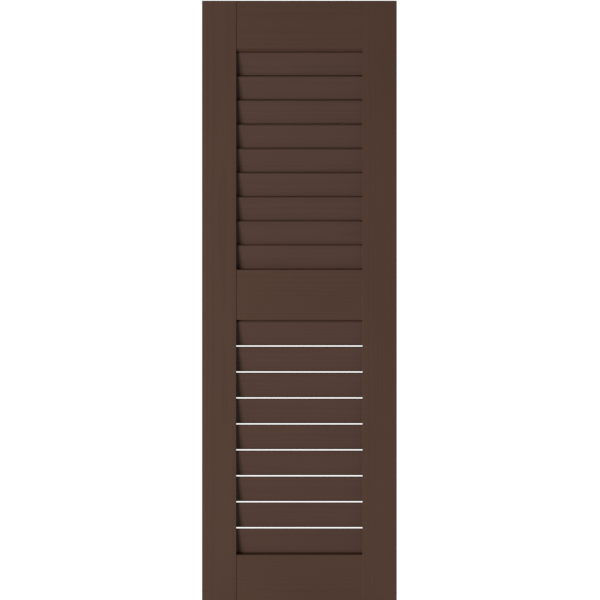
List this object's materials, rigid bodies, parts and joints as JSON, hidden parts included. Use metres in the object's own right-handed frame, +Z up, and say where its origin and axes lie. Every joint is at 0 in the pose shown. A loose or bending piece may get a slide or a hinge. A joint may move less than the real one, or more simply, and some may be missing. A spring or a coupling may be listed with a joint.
{
  "type": "louvred shutter",
  "caption": "Framed window shutter leaf with a closed bank of fixed louvres above a slightly open bank, painted brown.",
  "frame": {"origin": "centre of the leaf's back face, the face that lies towards the wall or window", "axes": "+X to the right as seen from the front, +Y out of the back face into the wall, +Z up; the front faces -Y"},
  "size_m": [0.381, 0.035, 1.181],
  "materials": {
    "frame_paint": "satin",
    "louvre_paint": "satin",
    "dowel_wood": "matte"
  },
  "bodies": {
    "root": {"left_stile": "frame_paint", "right_stile": "frame_paint", "top_rail": "frame_paint", "mid_rail": "frame_paint", "bottom_rail": "frame_paint", "top_rail_dowels": "dowel_wood", "mid_rail_dowels": "dowel_wood", "bottom_rail_dowels": "dowel_wood", "upper_louvre_1": "louvre_paint", "upper_louvre_2": "louvre_paint", "upper_louvre_3": "louvre_paint", "upper_louvre_4": "louvre_paint", "upper_louvre_5": "louvre_paint", "upper_louvre_6": "louvre_paint", "upper_louvre_7": "louvre_paint", "upper_louvre_8": "louvre_paint", "upper_louvre_9": "louvre_paint", "lower_louvre_1": "louvre_paint", "lower_louvre_2": "louvre_paint", "lower_louvre_3": "louvre_paint", "lower_louvre_4": "louvre_paint", "lower_louvre_5": "louvre_paint", "lower_louvre_6": "louvre_paint", "lower_louvre_7": "louvre_paint", "lower_louvre_8": "louvre_paint", "lower_louvre_9": "louvre_paint"}
  },
  "joints": []
}
